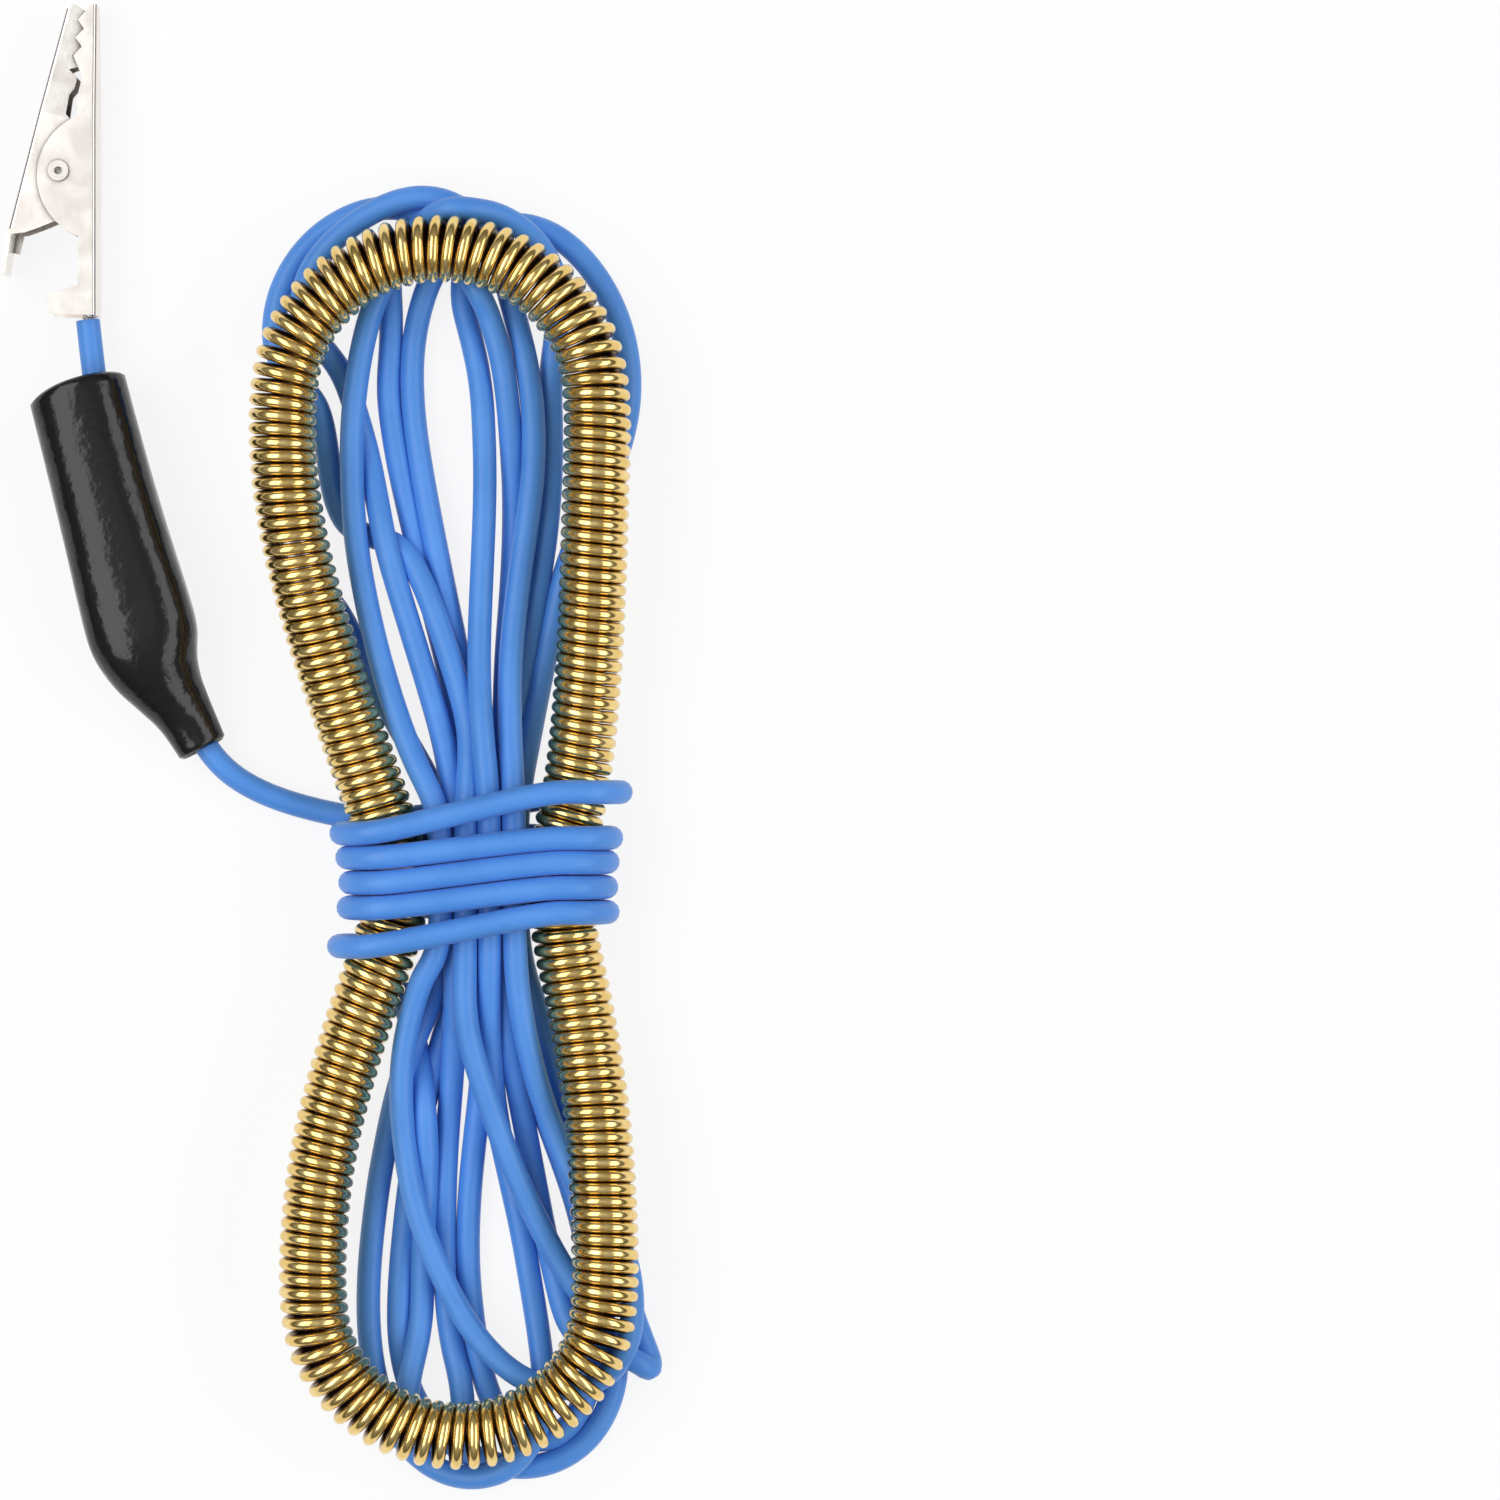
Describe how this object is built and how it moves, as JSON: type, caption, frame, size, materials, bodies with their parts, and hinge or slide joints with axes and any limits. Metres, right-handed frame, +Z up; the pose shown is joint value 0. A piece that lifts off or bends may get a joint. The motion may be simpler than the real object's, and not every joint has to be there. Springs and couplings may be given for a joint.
{
  "type": "esd wrist strap",
  "caption": "Anti-static wrist strap: a coil-spring bracelet, a thin insulated ground lead folded into a tied hank, a slide-back boot and a sprung crocodile clip.",
  "frame": {"origin": "on the surface that the strap lies on, under the middle of the clip, boot and spring loop", "axes": "+Z up from the surface, +Y along the loop's length towards the end with the clip's tip, +X from the clip towards the loop"},
  "size_m": [0.072, 0.1668, 0.0131],
  "materials": {
    "gold_spring": "polished, close-wound spring wire, gold-coloured",
    "spring_steel": "bright",
    "lead_blue": "satin",
    "tinned_copper": "bright strands",
    "solder": "satin",
    "nickel": "bright nickel plate",
    "boot_black": "gloss, soft"
  },
  "bodies": {
    "strap": {"bracelet_coil": "gold_spring", "coil_joiner": "gold_spring", "lead_head": "lead_blue", "lead_tail": "lead_blue", "lead_wraps": "lead_blue", "lead_strands_upper": "lead_blue", "lead_strands_lower": "lead_blue", "clip_conductor": "tinned_copper", "bracelet_conductor": "tinned_copper", "clip_solder": "solder", "clip_fixed_jaw": "nickel", "clip_rivet": "nickel", "clip_spring": "spring_steel"},
    "thumb_jaw": {"clip_moving_jaw": "nickel"},
    "boot": {"boot": "boot_black"}
  },
  "joints": [
    {"name": "jaw_pivot", "type": "hinge", "parent": "strap", "child": "thumb_jaw", "pos_m": [-0.0295, 0.06305, 0.00335], "axis": [0, 0, 1], "range_deg": [0, 25], "stiffness_Nm_per_rad": 0.02, "springref_deg": -22.92, "deforming": ["clip_spring"]},
    {"name": "boot_slide", "type": "slide", "parent": "strap", "child": "boot", "axis": [-0.4969, 0.8678, 0], "range_m": [-0.001, 0.0018]}
  ]
}
